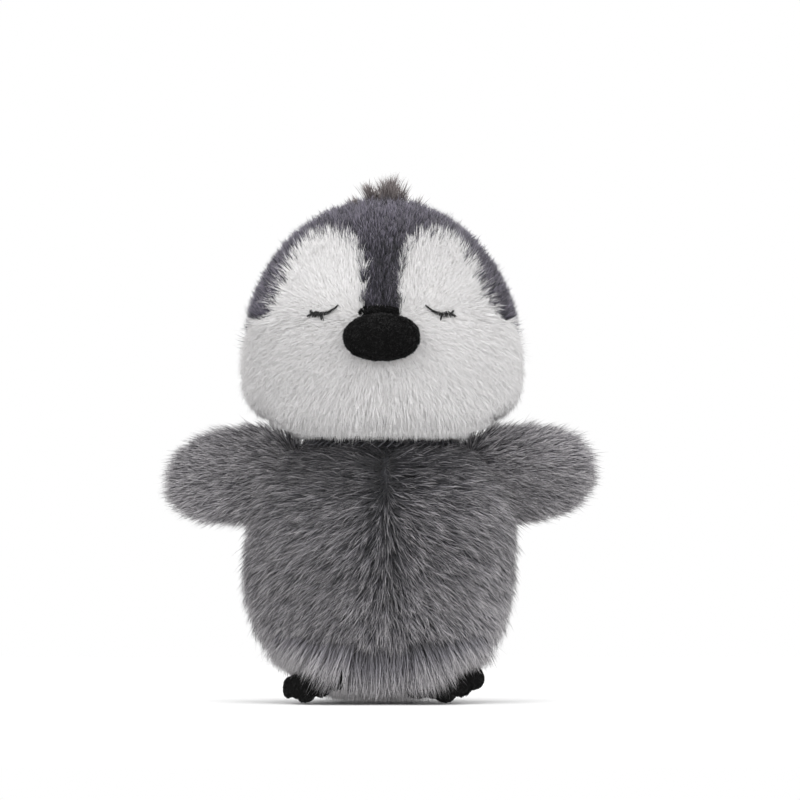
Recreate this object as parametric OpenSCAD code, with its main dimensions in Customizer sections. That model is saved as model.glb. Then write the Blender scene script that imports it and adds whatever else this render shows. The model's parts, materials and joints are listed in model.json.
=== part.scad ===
// Plush penguin: a stuffed toy sewn from fur fabric panels over loose fibre stuffing.
// Millimetres. +Z is up, the face looks along -Y, and the toy's own left side is +X.
// The origin is the centre of the footprint, on the surface the toy stands on.

/* [Fabric] */
// Thickness of long-pile fur with its backing, as it lies on the toy
fur_t = 9; // [6:0.5:10]
// Thickness of the short-pile fabric on the nose and the feet
short_pile_t = 1.5; // [1:0.1:2]
// Depth of the head and the torso as a share of their width
depth_ratio = 0.88; // [0.86:0.01:0.95]

/* [Torso] */
// Width across the belly
belly_w = 132; // [126:1:134]
// Height of the belly's widest line
belly_z = 66; // [64:1:67]
// Height of the shoulders, where the torso's fur ends at the neck opening
shoulder_z = 118; // [115:1:118]
// Radius of the flat panel under the torso
base_panel_r = 21.5; // [18:0.5:21.5]
// Radius of the opening that the neck's stuffing passes through
neck_opening_r = 35; // [34:1:37]

/* [Head] */
// Width across the cheeks
head_w = 135; // [130:1:137]
// Height of the cheeks' widest line
cheek_z = 158; // [157:1:160]
// Height of the crown above the cheeks' widest line
crown_rise = 82; // [76:1:86]
// Drop from the cheeks' widest line to the chin
chin_drop = 35; // [33:1:35]
// Height where the chin panel meets the face panels
chin_seam_z = 134; // [130:1:140]
// Height of the side edge of the dark hood
hood_side_z = 182; // [178:1:186]
// Half-width of the dark gusset that runs over the crown
gusset_half_w = 14; // [12:1:15]

/* [Face] */
// Width of the nose
nose_w = 36.5; // [30:0.5:40]
// Height of the nose
nose_h = 22.6; // [18:0.2:26]
// Height of the nose's centre
nose_z = 173.6; // [170:0.2:176]
// Distance of each eye from the middle
eye_x = 28.5; // [25:0.5:31]
// Height of the closed eyes
eye_z = 187; // [184:0.5:190]
// Thickness of the embroidery thread on the face
thread_t = 1.2; // [0.8:0.1:1.6]
// Height of the tuft's longest spikes above the crown
tuft_h = 10; // [6:1:14]

/* [Wings] */
// Length of a wing from its shoulder seam to its tip
wing_l = 42; // [38:1:44]
// Height of a wing at its widest
wing_h = 49; // [44:1:50]
// Thickness of a wing as a share of its height
wing_flatness = 0.6; // [0.55:0.01:0.65]
// Distance of the shoulder seam from the middle
wing_seam_x = 63; // [62.5:0.5:65]
// Height of the shoulder seam's centre
wing_seam_z = 103; // [101:1:104]
// Angle that a wing points above level
wing_rise = 8; // [6:1:10]

/* [Feet] */
// Thickness of a foot
foot_t = 7; // [6:0.5:8]
// Distance of each foot's middle toe from the middle
foot_x = 32; // [31:1:34]
// Distance of the foot seam in front of the middle
foot_y = 43; // [43:0.5:48]
// Angle that the toes lean forward from hanging straight down
foot_lean = 8; // [4:1:12]
// Angle that each foot turns outward
foot_splay = 34; // [30:1:36]

/* [Hidden] */

round_fn = 96;
profile_steps = 12;
big = 300;
fit_gap = 0.1;
sew_gap = 0.3;

belly_r = belly_w / 2;
// The torso's outline would close this far above and below the belly's widest line
torso_rise = 60;
torso_drop = belly_z + 2;
torso_n_up = 3.2;
torso_n_down = 2.4;

cheek_r = head_w / 2;
head_n_up = 2;
head_n_down = 2.8;

// The head nods and turns about one point inside the neck, so the neck's stuffing is a ball
// around that point and the hollow under the head is a larger one.
neck_pivot_z = 95;
neck_ball_r = 45.5;
neck_hollow_r = 52.5;
neck_column_r = 30;
seam_ring_r = 1.2;
seam_ring_angle = 40;

white_back_y = 14;
eye_patch_r = 21;
eye_patch_x = 33;
eye_patch_z = 203;

nose_r = nose_h / 2;
nose_back_y = -59.8;
bridge_w = 18;
bridge_h = 5;
eye_arc_r = 9;
eye_arc_w = 1.6;
eye_arc_half_angle = 46;
lash_l = 3.2;
lash_w = 0.8;
lash_angles = [-44, -30, -16];
tuft_spikes = 9;
tuft_pitch = 4;
tuft_base_r = 1.8;
tuft_tip_r = 0.3;

stitch_r = 0.4;
stitch_l = 4;
stitch_count = 9;
stitch_pitch = 4;
stitch_from_z = 40;

wing_r = wing_h / 2;
wing_root_l = 18;
wing_n_root = 1.8;
wing_n_tip = 2.3;

toe_r = 8.6;
side_toe_r = 7.6;
side_toe_x = 12.6;
side_toe_lift = 4.4;
foot_pad_r = 9.5;
foot_pad_lift = 2.5;
foot_seam_lift = 12.5;
// Height of the foot seam, so that the middle toe just touches the ground
foot_z = (foot_seam_lift + toe_r) * cos(foot_lean) + foot_t / 2 * sin(foot_lean);

fur_grey = [0.42, 0.42, 0.44];
hood_grey = [0.25, 0.24, 0.28];
fur_white = [0.95, 0.94, 0.93];
stuffing_white = [0.9, 0.9, 0.86];
pile_black = [0.06, 0.06, 0.07];

// Right-hand outline of a soft form as [radius, height] points. It is a superellipse on each
// side of the widest line at height zc, and angle runs from -90 at its foot to 90 at its top.
function soft_side(zc, r, rise, drop, n_up, n_down, from, to) = [
  for (i = [0:2 * profile_steps])
    let (
      a = from + (to - from) * i / (2 * profile_steps),
      n = a < 0 ? n_down : n_up,
      h = a < 0 ? drop : rise
    )
    [r * pow(max(0, 1 - pow(abs(sin(a)), n)), 1 / n), zc + h * sin(a)]
];

// Half-width of the torso and of the head at one height
function torso_r(z) = z < belly_z
  ? belly_r * pow(1 - pow((belly_z - z) / torso_drop, torso_n_down), 1 / torso_n_down)
  : belly_r * pow(1 - pow((z - belly_z) / torso_rise, torso_n_up), 1 / torso_n_up);
function head_r(z) = z < cheek_z
  ? cheek_r * pow(1 - pow((cheek_z - z) / chin_drop, head_n_down), 1 / head_n_down)
  : cheek_r * pow(1 - pow((z - cheek_z) / crown_rise, head_n_up), 1 / head_n_up);
function crown_z(x) = cheek_z + crown_rise * sqrt(1 - pow(x / cheek_r, 2));

// Where the front of the head is, at a place across and a height
function face_y(x, z) = -depth_ratio * sqrt(pow(head_r(z), 2) - pow(x, 2));

// A full turn of an outline in four quarters, which keeps true curves when it is then narrowed
module full_turn() {
  for (turn = [0:90:270])
    rotate([0, 0, turn])
      rotate_extrude(angle = 90, $fn = round_fn)
        children();
}

// ---- Torso ----

module torso_outline(inset) {
  bottom = inset > 0 ? -90 : -asin(belly_z / torso_drop);
  top_z = shoulder_z - inset;
  top = asin((top_z - belly_z) / (torso_rise - inset));
  side = soft_side(belly_z, belly_r - inset, torso_rise - inset, torso_drop - inset,
                   torso_n_up, torso_n_down, bottom, top);
  polygon(concat([[0, side[0][1]]], side, [[0, top_z]]));
}

module torso_shell_outline() {
  difference() {
    torso_outline(0);
    torso_outline(fur_t);
    translate([0, shoulder_z - 2 * fur_t])
      square([neck_opening_r, 3 * fur_t]);
  }
}

// One quarter of the torso's fur, from the base panel up to the neck opening
module torso_quarter(turn) {
  color(fur_grey)
    scale([1, depth_ratio, 1])
      rotate([0, 0, turn])
        rotate_extrude(angle = 90, $fn = round_fn)
          difference() {
            torso_shell_outline();
            square([base_panel_r, belly_z / 2]);
          }
}

module belly_panel_left() { torso_quarter(-90); }
module belly_panel_right() { torso_quarter(180); }
module back_panel_left() { torso_quarter(0); }
module back_panel_right() { torso_quarter(90); }

// The flat oval that the toy stands on, as thick as the fur around it is at the bottom
module base_panel() {
  r = base_panel_r - fit_gap;
  color(fur_grey)
    linear_extrude(belly_z - torso_drop + fur_t)
      polygon([for (i = [0:round_fn - 1])
                 r * [cos(360 * i / round_fn), depth_ratio * sin(360 * i / round_fn)]]);
}

module torso_stuffing() {
  color(stuffing_white)
    scale([1, depth_ratio, 1])
      full_turn()
        torso_outline(fur_t + fit_gap);
}

// The groove that the neck seam lies in, and the seam, are rings near the ball's surface
module seam_ring_outline(r) {
  ring_distance = neck_ball_r - seam_ring_r - sew_gap;
  translate([ring_distance * cos(seam_ring_angle),
             neck_pivot_z + ring_distance * sin(seam_ring_angle)])
    circle(r, $fn = 24);
}

module neck_stuffing() {
  column_from = shoulder_z - fur_t;
  color(stuffing_white)
    rotate_extrude($fn = round_fn)
      difference() {
        union() {
          translate([0, column_from])
            square([neck_column_r, 2 * fur_t]);
          intersection() {
            translate([0, neck_pivot_z])
              circle(neck_ball_r, $fn = round_fn);
            translate([0, shoulder_z + fit_gap])
              square([neck_ball_r, neck_ball_r]);
          }
        }
        seam_ring_outline(seam_ring_r + sew_gap);
      }
}

module neck_seam() {
  color(fur_grey)
    rotate_extrude($fn = round_fn)
      seam_ring_outline(seam_ring_r);
}

// The slip stitches that close the back after stuffing
module closing_stitches() {
  color(hood_grey)
    for (i = [0:stitch_count - 1]) {
      z = stitch_from_z + i * stitch_pitch;
      translate([0, depth_ratio * torso_r(z) + stitch_r + sew_gap, z])
        rotate([0, 90, 0])
          cylinder(stitch_l, r = stitch_r, center = true, $fn = 16);
    }
}

// ---- Head ----

module head_outline(inset) {
  side = soft_side(cheek_z, cheek_r - inset, crown_rise - inset, chin_drop - inset,
                   head_n_up, head_n_down, -90, 90);
  difference() {
    polygon(side);
    translate([0, neck_pivot_z])
      circle(neck_hollow_r, $fn = round_fn);
  }
}

// Everything below works on the head before it is narrowed to its depth, so that it stays round
module head_shell() {
  rotate_extrude($fn = round_fn)
    difference() {
      head_outline(0);
      head_outline(fur_t);
    }
}

// A prism through the head from front to back, or only through its front half
module across(front_only) {
  translate([0, front_only ? 0 : big / 2, 0])
    rotate([90, 0, 0])
      linear_extrude(front_only ? big / 2 : big)
        children();
}

module white_zone() {
  rotate([90, 0, 90])
    linear_extrude(big, center = true)
      polygon([[-big / 2, 0], [white_back_y, 0], [white_back_y, hood_side_z - 20],
               [0, hood_side_z], [-big / 2, hood_side_z]]);
  for (side = [-1, 1])
    across(true)
      translate([side * eye_patch_x, 0]) {
        translate([0, eye_patch_z])
          circle(eye_patch_r, $fn = 64);
        translate([-eye_patch_r, hood_side_z - 1])
          square([2 * eye_patch_r, eye_patch_z - hood_side_z + 1]);
      }
}

// The gusset narrows to a blaze between the eye patches
module gusset_zone() {
  half_w = gusset_half_w - 2;
  across(false)
    translate([-half_w, 0])
      square([2 * half_w, big]);
}

module half_space(side) {
  translate([side * big / 2, 0, big / 2])
    cube(big, center = true);
}

module crown_gusset() {
  color(hood_grey)
    scale([1, depth_ratio, 1])
      difference() {
        intersection() {
          head_shell();
          gusset_zone();
        }
        white_zone();
      }
}

module hood_panel(side) {
  color(hood_grey)
    scale([1, depth_ratio, 1])
      difference() {
        intersection() {
          head_shell();
          half_space(side);
        }
        white_zone();
        gusset_zone();
      }
}

module face_panel(side) {
  color(fur_white)
    scale([1, depth_ratio, 1])
      intersection() {
        head_shell();
        white_zone();
        half_space(side);
        translate([-big / 2, -big / 2, chin_seam_z])
          cube(big);
      }
}

module hood_panel_left() { hood_panel(1); }
module hood_panel_right() { hood_panel(-1); }
module face_panel_left() { face_panel(1); }
module face_panel_right() { face_panel(-1); }

module chin_panel() {
  color(fur_white)
    scale([1, depth_ratio, 1])
      intersection() {
        head_shell();
        white_zone();
        translate([-big / 2, -big / 2, chin_seam_z - big])
          cube(big);
      }
}

module head_stuffing() {
  color(stuffing_white)
    scale([1, depth_ratio, 1])
      full_turn()
        head_outline(fur_t + fit_gap);
}

// The nose is a flat-backed bean that is sewn to the front of the face
module nose_form(inset) {
  intersection() {
    translate([0, nose_back_y, nose_z])
      rotate([0, 90, 0]) {
        half_l = nose_w / 2 - nose_r;
        cylinder(2 * half_l, r = nose_r - inset, center = true, $fn = 64);
        for (end = [-1, 1])
          translate([0, 0, end * half_l])
            sphere(nose_r - inset, $fn = 64);
      }
    translate([0, nose_back_y - inset - big / 2, nose_z])
      cube(big, center = true);
  }
}

module nose_cover() {
  color(pile_black)
    difference() {
      nose_form(0);
      nose_form(short_pile_t);
    }
}

module nose_stuffing() {
  color(stuffing_white)
    nose_form(short_pile_t + fit_gap);
}

module nose_bridge() {
  z = nose_z + nose_r + bridge_h / 2;
  lean = atan((face_y(0, z + 1) - face_y(0, z - 1)) / 2);
  color(pile_black)
    translate([0, face_y(0, z) - thread_t / 2 - 2 * sew_gap, z])
      rotate([-lean, 0, 0])
        cube([bridge_w, thread_t, bridge_h], center = true);
}

// A closed eye: a stitched arc, open upwards, with short lashes under its outer end
module eye_outline() {
  intersection() {
    difference() {
      circle(eye_arc_r + eye_arc_w / 2, $fn = 64);
      circle(eye_arc_r - eye_arc_w / 2, $fn = 64);
    }
    polygon([[0, 0], for (s = [-1, 1]) 2 * eye_arc_r * [s * sin(eye_arc_half_angle),
                                                        -cos(eye_arc_half_angle)]]);
  }
  for (a = lash_angles)
    rotate(a)
      translate([-lash_w / 2, -eye_arc_r - lash_l])
        square([lash_w, lash_l]);
}

module eye(side) {
  // Way that the face looks at the eye: outward from straight ahead, and up
  outward = atan(eye_x * depth_ratio * depth_ratio / -face_y(eye_x, eye_z));
  upward = atan((face_y(eye_x, eye_z + 1) - face_y(eye_x, eye_z - 1)) / 2);
  color(pile_black)
    translate([side * eye_x, face_y(eye_x, eye_z), eye_z])
      rotate([-upward, 0, side * outward])
        translate([0, -4 * sew_gap, 0])
          rotate([90, 0, 0])
            linear_extrude(thread_t)
              translate([0, eye_arc_r - 3])
                scale([-side, 1])
                  eye_outline();
}

module eye_left() { eye(1); }
module eye_right() { eye(-1); }

module crown_tuft() {
  middle = (tuft_spikes - 1) / 2;
  color(hood_grey)
    for (i = [0:tuft_spikes - 1]) {
      x = (i - middle) * tuft_pitch;
      tilt = 2 * (i - middle);
      height = tuft_h * (1 - 0.12 * abs(i - middle) - 0.1 * (i % 2));
      translate([x, 0, crown_z(abs(x) + tuft_base_r) + sew_gap + tuft_base_r * abs(sin(tilt)) + 0.8])
        rotate([0, tilt, 0])
          cylinder(height, tuft_base_r, tuft_tip_r, $fn = 24);
    }
}

// ---- Wings ----

module wing_outline(inset) {
  side = soft_side(wing_root_l, wing_r - inset, wing_l - wing_root_l - inset,
                   wing_root_l - inset, wing_n_tip, wing_n_root, -90, 90);
  polygon(side);
}

// Puts a form that is built along +Z at one shoulder, pointing outward
module at_shoulder(side) {
  translate([side * wing_seam_x, 0, wing_seam_z])
    rotate([0, side * (90 - wing_rise), 0])
      scale([1, wing_flatness, 1])
        children();
}

module wing_panel(side, front) {
  color(fur_grey)
    at_shoulder(side)
      rotate([0, 0, front ? 180 : 0])
        rotate_extrude(angle = 180, $fn = round_fn)
          difference() {
            wing_outline(0);
            wing_outline(fur_t);
          }
}

module wing_stuffing(side) {
  color(stuffing_white)
    at_shoulder(side)
      full_turn()
        wing_outline(fur_t + fit_gap);
}

module wing_left_front() { wing_panel(1, true); }
module wing_left_back() { wing_panel(1, false); }
module wing_left_stuffing() { wing_stuffing(1); }
module wing_right_front() { wing_panel(-1, true); }
module wing_right_back() { wing_panel(-1, false); }
module wing_right_stuffing() { wing_stuffing(-1); }

// ---- Feet ----

// A webbed foot of three toes, hanging down from its seam at the origin. Its outer side is +X.
module foot_outline(inset) {
  translate([0, -foot_seam_lift])
    circle(toe_r - inset, $fn = 48);
  for (side = [-1, 1])
    translate([side * side_toe_x, -foot_seam_lift + side_toe_lift])
      circle(side_toe_r - inset, $fn = 48);
  translate([0, -foot_seam_lift + foot_pad_lift])
    circle(foot_pad_r - inset, $fn = 48);
}

module at_ankle(side) {
  translate([side * foot_x, -foot_y, foot_z])
    rotate([-foot_lean, 0, side * foot_splay])
      children();
}

// A slab of the foot's outline between two depths, counted back from its front face
module foot_slab(from, to, inset) {
  translate([0, to - foot_t / 2, 0])
    rotate([90, 0, 0])
      linear_extrude(to - from)
        foot_outline(inset);
}

module foot_top(side) {
  color(pile_black)
    at_ankle(side)
      difference() {
        foot_slab(0, foot_t - short_pile_t - fit_gap, 0);
        foot_slab(short_pile_t, foot_t, short_pile_t);
      }
}

module foot_sole(side) {
  color(pile_black)
    at_ankle(side)
      foot_slab(foot_t - short_pile_t, foot_t, 0);
}

module foot_stuffing(side) {
  color(stuffing_white)
    at_ankle(side)
      foot_slab(short_pile_t + fit_gap, foot_t - short_pile_t - fit_gap,
                short_pile_t + fit_gap);
}

module foot_left_top() { foot_top(1); }
module foot_left_sole() { foot_sole(1); }
module foot_left_stuffing() { foot_stuffing(1); }
module foot_right_top() { foot_top(-1); }
module foot_right_sole() { foot_sole(-1); }
module foot_right_stuffing() { foot_stuffing(-1); }

belly_panel_left();
belly_panel_right();
back_panel_left();
back_panel_right();
base_panel();
torso_stuffing();
neck_stuffing();
closing_stitches();
neck_seam();
crown_gusset();
hood_panel_left();
hood_panel_right();
face_panel_left();
face_panel_right();
chin_panel();
head_stuffing();
nose_cover();
nose_stuffing();
nose_bridge();
eye_left();
eye_right();
crown_tuft();
wing_left_front();
wing_left_back();
wing_left_stuffing();
wing_right_front();
wing_right_back();
wing_right_stuffing();
foot_left_top();
foot_left_sole();
foot_left_stuffing();
foot_right_top();
foot_right_sole();
foot_right_stuffing();
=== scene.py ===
"""Looks of the plush penguin: fur, embroidery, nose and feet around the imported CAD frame.

Lengths are in metres, in the CAD model's own frame: +Z is up, the face looks along -Y,
and the toy's own left side is +X. Every hair is a closed, tapered tube of real geometry.
"""
import json
import math

import bpy
import mathutils
import numpy as np
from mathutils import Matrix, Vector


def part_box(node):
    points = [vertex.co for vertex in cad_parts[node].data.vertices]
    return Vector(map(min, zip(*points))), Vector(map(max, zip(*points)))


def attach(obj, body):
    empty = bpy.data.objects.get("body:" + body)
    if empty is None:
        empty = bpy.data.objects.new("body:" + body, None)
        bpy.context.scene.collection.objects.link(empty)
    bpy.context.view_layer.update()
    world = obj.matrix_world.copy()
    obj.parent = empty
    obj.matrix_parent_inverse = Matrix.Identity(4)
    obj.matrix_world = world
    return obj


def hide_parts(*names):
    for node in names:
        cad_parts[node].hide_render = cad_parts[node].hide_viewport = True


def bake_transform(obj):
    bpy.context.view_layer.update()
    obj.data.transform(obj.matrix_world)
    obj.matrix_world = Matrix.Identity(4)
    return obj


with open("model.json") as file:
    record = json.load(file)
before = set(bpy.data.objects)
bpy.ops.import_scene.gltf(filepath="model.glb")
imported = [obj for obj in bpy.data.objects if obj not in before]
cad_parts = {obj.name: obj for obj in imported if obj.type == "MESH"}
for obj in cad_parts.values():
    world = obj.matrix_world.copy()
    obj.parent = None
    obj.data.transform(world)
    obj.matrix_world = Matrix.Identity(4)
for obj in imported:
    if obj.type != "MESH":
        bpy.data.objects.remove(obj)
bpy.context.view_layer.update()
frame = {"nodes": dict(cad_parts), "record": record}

MM = 0.001

# ---------------------------------------------------------------- places, from the CAD


def box(node):
    """Lowest and highest corner of a CAD node, as arrays."""
    low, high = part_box(node)
    return np.array(low, float), np.array(high, float)


def middle(node):
    low, high = box(node)
    return (low + high) / 2


JOINTS = {joint["name"]: joint for joint in frame["record"]["behaviour"]["joints"]}
NECK = np.array(JOINTS["head_turn"]["pos_m"], float)
WING_SEAM = np.array(JOINTS["wing_left_swing"]["pos_m"], float)
FOOT_SEAM = np.array(JOINTS["foot_left_flex"]["pos_m"], float)
FOOT_AXIS = np.array(JOINTS["foot_left_flex"]["axis"], float)

BELLY_LOW, BELLY_HIGH = box("belly_panel_left")
DEPTH = -BELLY_LOW[1] / BELLY_HIGH[0]
BELLY_R = BELLY_HIGH[0]
BELLY_Z = 66 * MM
SHOULDER_RISE = 60 * MM
BOTTOM_DROP = 66 * MM
CHEEK_R = box("face_panel_left")[1][0]
CHIN_DROP = 35 * MM
CROWN_RISE = 82 * MM
CROWN_Z = box("crown_gusset")[1][2]
CHEEK_Z = CROWN_Z - CROWN_RISE
# The CAD's eyes are this much further out than the photograph's
EYE_INWARD = 4 * MM
EYE = middle("eye_left") - [EYE_INWARD, 0, 0]
NOSE = middle("nose_cover")
NOSE_HALF = (box("nose_cover")[1] - box("nose_cover")[0]) / 2
BRIDGE = middle("nose_bridge")
TUFT_LOW, TUFT_HIGH = box("crown_tuft")
WING_TIP = box("wing_left_front")[1][0]

# ---------------------------------------------------------------- soft forms


def unit(v):
    return v / np.maximum(np.linalg.norm(v, axis=-1, keepdims=True), 1e-9)


def hill(distance, width):
    """A smooth hill of height 1 that fades out with distance."""
    return np.exp(-((distance / width) ** 2))


def ease(x, low, high):
    """0 below low, 1 above high, and smooth between."""
    t = np.clip((x - low) / (high - low), 0, 1)
    return t * t * (3 - 2 * t)


def vectors(x, y, z, like):
    """Parts that are numbers or arrays, as one vector for each row of like."""
    ones = np.ones(len(like))
    return np.stack([x * ones, y * ones, z * ones], axis=1)


CELLS_ACROSS, CELLS_ALONG = 420, 300


class Form:
    """A closed soft surface over u (once round, 0 to 1) and v (foot to top, 0 to 1).

    outline gives the shape that the fur's tips reach, and relief how far the cloth lies
    outside it (or, below zero, inside it).
    """

    STEP = 1e-3

    def __init__(self, outline, relief):
        self.outline = outline
        self.relief = relief
        self.cells = None

    def base(self, u, v):
        return self.outline(u, np.clip(v, 1e-4, 1 - 1e-4))

    def point(self, u, v):
        p = self.base(u, v)
        across = self.base(u + self.STEP, v) - self.base(u - self.STEP, v)
        along = self.base(u, v + self.STEP) - self.base(u, v - self.STEP)
        normal = unit(np.cross(across, along))
        return p + self.relief(p)[:, None] * normal

    def frame(self, u, v):
        """Points, outward normals, and the lengths that a whole turn of u and of v would cover."""
        u_step = (self.point(u + self.STEP, v) - self.point(u - self.STEP, v)) / (2 * self.STEP)
        high, low = np.minimum(v + self.STEP, 1), np.maximum(v - self.STEP, 0)
        v_step = (self.point(u, high) - self.point(u, low)) / (high - low)[:, None]
        normal = np.cross(u_step, v_step)
        return self.point(u, v), normal, np.linalg.norm(u_step, axis=1), np.linalg.norm(v_step, axis=1)

    def table(self):
        """A grid of cells over u and v, with the middle and the area of each."""
        if self.cells is None:
            u = np.tile(np.arange(CELLS_ACROSS), CELLS_ALONG)
            v = np.repeat(np.arange(CELLS_ALONG), CELLS_ACROSS)
            p, normal, _, _ = self.frame((u + 0.5) / CELLS_ACROSS, (v + 0.5) / CELLS_ALONG)
            self.cells = u, v, p, np.linalg.norm(normal, axis=1)
        return self.cells


def superellipse(angle, radius, rise, drop, n_up, n_down):
    """Radius and height above the widest line, for an angle from -90 to 90 degrees."""
    s = np.sin(angle)
    n = np.where(s < 0, n_down, n_up)
    r = radius * np.maximum(1 - np.abs(s) ** n, 0) ** (1 / n)
    return r, np.where(s < 0, drop, rise) * s


def revolve(u, r, z):
    turn = u * 2 * math.pi
    return np.stack([r * np.cos(turn), DEPTH * r * np.sin(turn), z], axis=1)


def new_piece(name, mesh):
    piece = bpy.data.objects.new(name, mesh)
    bpy.context.scene.collection.objects.link(piece)
    return piece


def cloth(name, form, across, along):
    """A closed quad mesh of a form, with a fan at its foot and top."""
    u = np.tile(np.arange(across) / across, along)
    v = np.repeat((np.arange(along) + 0.5) / along, across)
    ends = form.point(np.zeros(2), np.array([0.0, 1.0]))
    points = np.concatenate([form.point(u, v), ends])
    foot, top = len(points) - 2, len(points) - 1
    last = (along - 1) * across
    faces = []
    for i in range(across):
        k = (i + 1) % across
        for j in range(0, last, across):
            faces.append((j + i, j + k, j + across + k, j + across + i))
        faces.append((foot, k, i))
        faces.append((top, last + i, last + k))
    mesh = bpy.data.meshes.new(name)
    mesh.from_pydata(points.tolist(), [], faces)
    mesh.polygons.foreach_set("use_smooth", np.ones(len(faces), bool))
    return new_piece(name, mesh)


def tubes(name, paths, radii, sides=6):
    """Threads: one closed round tube along each path. paths is (count, points, 3)."""
    count, steps = paths.shape[:2]
    heading = unit(np.gradient(paths, axis=1))
    right = unit(np.cross(heading, np.array([0.31, 0.87, 0.38])))
    over = np.cross(right, heading)
    ends = np.sin(np.linspace(0.12, 0.88, steps) * math.pi) ** 0.25
    rings = []
    for k in range(sides):
        angle = 2 * math.pi * k / sides
        offset = math.cos(angle) * right + math.sin(angle) * over
        rings.append(paths + offset * (np.reshape(radii, (-1, 1)) * ends)[:, :, None])
    points = np.stack(rings, axis=2).reshape(-1, 3)
    faces = []
    for thread in range(count):
        start = thread * steps * sides
        end = start + (steps - 1) * sides
        faces.append(tuple(start + k for k in range(sides)))
        faces.append(tuple(end + sides - 1 - k for k in range(sides)))
        for first in range(start, end, sides):
            for k in range(sides):
                following = (k + 1) % sides
                faces.append((first + following, first + k,
                              first + sides + k, first + sides + following))
    mesh = bpy.data.meshes.new(name)
    mesh.from_pydata(points.tolist(), [], faces)
    mesh.polygons.foreach_set("use_smooth", np.ones(len(faces), bool))
    return new_piece(name, mesh)


# ---------------------------------------------------------------- strands of fur

SIDES = 3
# How far along a hair each of its rings lies, ending at its tip, and how thick each ring is
RING_PLACES = np.array([0.0, 0.4, 0.75, 1.0])
RING_WIDTHS = np.array([1.0, 0.9, 0.6])
RINGS = len(RING_WIDTHS)
HAIR_POINTS = RINGS * SIDES + 1
UV_MARGIN = 0.02
UV_HAIR_WIDTH = 0.012


def hair_faces():
    """One hair's faces, as point numbers: its foot, the bands between its rings, and its tip."""
    faces = [(2, 1, 0)]
    for ring in range(RINGS):
        for side in range(SIDES):
            a = ring * SIDES + side
            b = ring * SIDES + (side + 1) % SIDES
            if ring < RINGS - 1:
                faces.append((a, b, b + SIDES, a + SIDES))
            else:
                faces.append((a, b, HAIR_POINTS - 1))
    return faces


HAIR_LOOPS = np.concatenate([np.array(face) for face in hair_faces()])
HAIR_FACE_SIZES = np.array([len(face) for face in hair_faces()])
HAIR_UV_U = np.append(np.tile((np.arange(SIDES) - 1) * UV_HAIR_WIDTH, RINGS), 0.0)
HAIR_UV_V = np.append(np.repeat(RING_PLACES[:RINGS], SIDES), 1.0)


def hairs(name, roots, normals, flows, lengths, lift_from, lift_to, sway, widths, shades):
    """One mesh of many tapered hairs.

    A hair leaves the cloth at the angle lift_from, bends to lift_to along its flow, and sways
    sideways. Its UV holds its shade across, and the way from root to tip along.
    """
    count = len(roots)
    side = unit(np.cross(normals, flows))
    spine = [roots]
    points = np.empty((count, HAIR_POINTS, 3), np.float32)
    for ring, (near, far) in enumerate(zip(RING_PLACES[:-1], RING_PLACES[1:])):
        lift = lift_from + (lift_to - lift_from) * (near + far) / 2
        turn = sway * (near + far) / 2
        heading = (
            np.cos(lift)[:, None] * (np.cos(turn)[:, None] * flows + np.sin(turn)[:, None] * side)
            + np.sin(lift)[:, None] * normals
        )
        right = unit(np.cross(heading, side + 0.01 * normals))
        over = np.cross(right, heading)
        for k in range(SIDES):
            angle = 2 * math.pi * (k + 0.25) / SIDES
            offset = math.cos(angle) * right + math.sin(angle) * over
            half_width = (widths * RING_WIDTHS[ring] / 2)[:, None]
            points[:, ring * SIDES + k] = spine[-1] + offset * half_width
        spine.append(spine[-1] + heading * (lengths * (far - near))[:, None])
    points[:, -1] = spine[-1]
    points[:, :, 2] = np.maximum(points[:, :, 2], 0.1 * MM)

    loops = (HAIR_LOOPS[None, :] + (np.arange(count) * HAIR_POINTS)[:, None]).ravel()
    sizes = np.tile(HAIR_FACE_SIZES, count)
    mesh = bpy.data.meshes.new(name)
    mesh.vertices.add(count * HAIR_POINTS)
    mesh.vertices.foreach_set("co", points.ravel())
    mesh.loops.add(len(loops))
    mesh.loops.foreach_set("vertex_index", loops.astype(np.int32))
    mesh.polygons.add(len(sizes))
    mesh.polygons.foreach_set("loop_start", np.append(0, np.cumsum(sizes)[:-1]).astype(np.int32))
    mesh.polygons.foreach_set("use_smooth", np.ones(len(sizes), bool))
    mesh.update(calc_edges=True)
    uv = np.empty((len(loops), 2), np.float32)
    shade = np.clip(shades, UV_MARGIN, 1 - UV_MARGIN)
    uv[:, 0] = (shade[:, None] + HAIR_UV_U[HAIR_LOOPS][None, :]).ravel()
    uv[:, 1] = np.tile(UV_MARGIN + (1 - 2 * UV_MARGIN) * HAIR_UV_V[HAIR_LOOPS], count)
    mesh.uv_layers.new(name="OFBake").data.foreach_set("uv", uv.ravel())
    return new_piece(name, mesh)


def scatter(form, count, rng, keep):
    """Places spread evenly over the part of a form that keep() says, as u and v."""
    cell_u, cell_v, p, area = form.table()
    weight = area * keep(p)
    chosen = rng.choice(len(weight), count, p=weight / weight.sum())
    return ((cell_u[chosen] + rng.random(count)) / CELLS_ACROSS,
            (cell_v[chosen] + rng.random(count)) / CELLS_ALONG)


class Coat:
    """How one kind of fur grows.

    length and shade are functions of the hairs' places, and flow and lift of their places and
    normals. spread is a clump's size, gather how far its hairs lean together, stray how much
    their directions differ, and uneven how much their lengths do.
    """

    def __init__(self, flow, length, lift, shade, width=0.26 * MM, per_clump=5,
                 spread=0.8 * MM, gather=0.5, stray=0.16, sway=0.25, uneven=1.0,
                 shade_spread=(0.12, 0.38)):
        self.flow = flow
        self.length = length
        self.lift = lift
        self.shade = shade
        self.width = width
        self.per_clump = per_clump
        self.spread = spread
        self.gather = gather
        self.stray = stray
        self.sway = sway
        self.uneven = uneven
        self.shade_spread = shade_spread


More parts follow.
